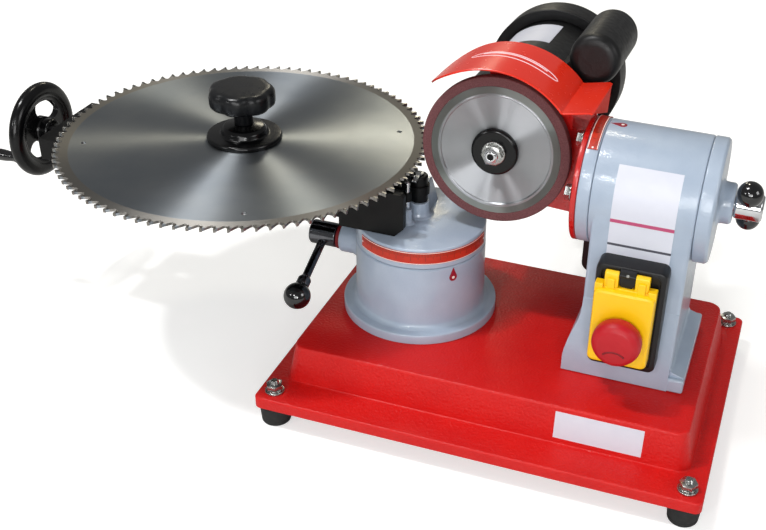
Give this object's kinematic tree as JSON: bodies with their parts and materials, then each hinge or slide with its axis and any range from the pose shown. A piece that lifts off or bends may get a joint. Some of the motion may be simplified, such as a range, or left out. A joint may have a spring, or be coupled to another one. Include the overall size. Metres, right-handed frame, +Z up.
{
  "type": "saw blade sharpening machine",
  "caption": "Bench sharpener for circular saw blades: a swivelling blade slide with a cranked carriage faces a tilting grinding head on a column, all on a sheet base with rubber feet.",
  "frame": {"origin": "middle of the footprint, on the ground", "axes": "+Z up, +X along the blade slide from the handwheel to the column, +Y from the operator's side to the rear"},
  "size_m": [0.6888, 0.394, 0.3115],
  "materials": {
    "red_powder_coat": "textured",
    "hammer_paint": "hammered",
    "orange_scale": "satin",
    "guard_enamel": "gloss",
    "foot_rubber": "matte",
    "zinc_plate": "satin",
    "polished_steel": "polished",
    "blade_steel": "ground",
    "black_oxide_steel": "satin",
    "black_enamel": "satin",
    "black_phenolic": "polished",
    "motor_enamel": "satin",
    "turned_steel": "turned",
    "abrasive": "gritty",
    "black_plastic": "satin",
    "yellow_plastic": "satin",
    "red_plastic": "satin",
    "green_plastic": "satin",
    "spring_steel": "satin",
    "red_washer": "satin"
  },
  "bodies": {
    "frame": {"base_tray": "red_powder_coat", "foot_front_left": "foot_rubber", "foot_front_right": "foot_rubber", "foot_rear_left": "foot_rubber", "foot_rear_right": "foot_rubber", "foot_bolt_front_left": "zinc_plate", "foot_bolt_front_right": "zinc_plate", "foot_bolt_rear_left": "zinc_plate", "foot_bolt_rear_right": "zinc_plate", "pedestal": "hammer_paint", "clamp_washer": "red_washer", "head_column": "hammer_paint", "end_cap": "hammer_paint", "switch_box": "black_plastic", "connection_box": "black_plastic"},
    "turntable": {"turntable": "hammer_paint", "pivot_retainer": "zinc_plate", "swivel_scale": "orange_scale"},
    "swivel_clamp": {"clamp_lever": "polished_steel", "clamp_ball": "black_phenolic"},
    "tooth_stop": {"stop_finger": "spring_steel"},
    "rail": {"slide_rail": "black_oxide_steel", "stop_post": "black_oxide_steel", "stop_guide_pin": "polished_steel"},
    "crank": {"lead_screw": "polished_steel", "handwheel": "black_enamel"},
    "crank_grip": {"crank_knob": "black_phenolic"},
    "carriage": {"blade_carriage": "black_oxide_steel", "blade_stud": "zinc_plate", "cone_spring": "spring_steel"},
    "centring": {"centring_cone": "polished_steel"},
    "blade": {"saw_blade": "blade_steel", "clamp_flange": "black_enamel"},
    "blade_nut": {"clamp_knob": "black_phenolic"},
    "head": {"tilt_spindle": "polished_steel", "tilt_flange": "hammer_paint", "tilt_scale": "orange_scale", "head_bracket": "red_powder_coat", "bracket_bolt_upper": "zinc_plate", "bracket_bolt_lower": "zinc_plate", "motor_shield": "motor_enamel", "motor_body": "motor_enamel", "fan_cowl": "motor_enamel", "capacitor_can": "motor_enamel", "wheel_guard": "guard_enamel"},
    "rotor": {"motor_shaft": "polished_steel", "inner_flange": "black_oxide_steel", "outer_flange": "black_oxide_steel", "wheel_core": "turned_steel", "abrasive_rim": "abrasive", "arbor_nut": "zinc_plate"},
    "tilt_clamp": {"head_lever": "polished_steel", "head_ball_rear": "black_phenolic", "head_ball_front": "black_phenolic"},
    "cover": {"switch_cover": "yellow_plastic"},
    "stop_mushroom": {"mushroom_button": "red_plastic"},
    "stop_switch": {"stop_button": "red_plastic"},
    "start_switch": {"start_button": "green_plastic"}
  },
  "joints": [
    {"name": "turntable_swivel", "type": "hinge", "parent": "frame", "child": "turntable", "pos_m": [0.0634, -0.03603, 0.1313], "axis": [0, 0, 1], "range_deg": [-20, 20]},
    {"name": "swivel_clamp_turn", "type": "hinge", "parent": "frame", "child": "swivel_clamp", "pos_m": [-0.0266, -0.03603, 0.1147], "axis": [1, 0, 0], "range_deg": [-8, 30]},
    {"name": "tooth_stop_turn", "type": "hinge", "parent": "rail", "child": "tooth_stop", "pos_m": [0.0597, -0.03202, 0.19], "axis": [0, 0, 1], "range_deg": [0, 20], "stiffness_Nm_per_rad": 0.02},
    {"name": "rail_feed", "type": "slide", "parent": "turntable", "child": "rail", "axis": [1, 0, 0], "range_m": [0, 0.008]},
    {"name": "crank_turn", "type": "hinge", "parent": "rail", "child": "crank", "pos_m": [-0.3136, -0.03603, 0.166], "axis": [1, 0, 0], "range_deg": [-3600, 0]},
    {"name": "crank_grip_spin", "type": "hinge", "parent": "crank", "child": "crank_grip", "pos_m": [-0.3316, -0.06746, 0.14929], "axis": [1, 0, 0], "continuous": true},
    {"name": "carriage_slide", "type": "slide", "parent": "rail", "child": "carriage", "axis": [1, 0, 0], "range_m": [-0.04, 0]},
    {"name": "centring_press", "type": "slide", "parent": "carriage", "child": "centring", "axis": [0, 0, 1], "range_m": [-0.004, 0], "stiffness_N_per_m": 900, "springref_m": 0.002, "deforming": ["cone_spring"]},
    {"name": "blade_index", "type": "hinge", "parent": "carriage", "child": "blade", "pos_m": [-0.1016, -0.03603, 0.195], "axis": [0, 0, 1], "continuous": true},
    {"name": "blade_nut_turn", "type": "hinge", "parent": "carriage", "child": "blade_nut", "pos_m": [-0.1016, -0.03603, 0.22], "axis": [0, 0, 1], "range_deg": [0, 720]},
    {"name": "head_tilt", "type": "hinge", "parent": "frame", "child": "head", "pos_m": [0.2134, -0.03603, 0.2158], "axis": [1, 0, 0], "range_deg": [-17, 23]},
    {"name": "grinding_spindle", "type": "hinge", "parent": "head", "child": "rotor", "pos_m": [0.1264, -0.03549, 0.22529], "axis": [0, 0.9984, -0.0558], "continuous": true},
    {"name": "tilt_clamp_turn", "type": "hinge", "parent": "head", "child": "tilt_clamp", "pos_m": [0.3324, -0.03603, 0.2158], "axis": [1, 0, 0], "range_deg": [-30, 30]},
    {"name": "cover_hinge", "type": "hinge", "parent": "frame", "child": "cover", "pos_m": [0.2559, -0.10643, 0.1754], "axis": [-1, 0, 0], "range_deg": [0, 95]},
    {"name": "stop_mushroom_press", "type": "slide", "parent": "cover", "child": "stop_mushroom", "axis": [0, 1, 0], "range_m": [0, 0.003], "stiffness_N_per_m": 600, "springref_m": -0.002},
    {"name": "stop_switch_press", "type": "slide", "parent": "frame", "child": "stop_switch", "axis": [0, 1, 0], "range_m": [0, 0.003], "stiffness_N_per_m": 300, "springref_m": -0.002},
    {"name": "start_switch_press", "type": "slide", "parent": "frame", "child": "start_switch", "axis": [0, 1, 0], "range_m": [0, 0.003], "stiffness_N_per_m": 400, "springref_m": -0.002}
  ],
  "couplings": [
    {"joint": "crank_turn", "follows": "carriage_slide", "rad_per_m": 1570.8},
    {"joint": "stop_switch_press", "follows": "stop_mushroom_press", "ratio": 1}
  ]
}
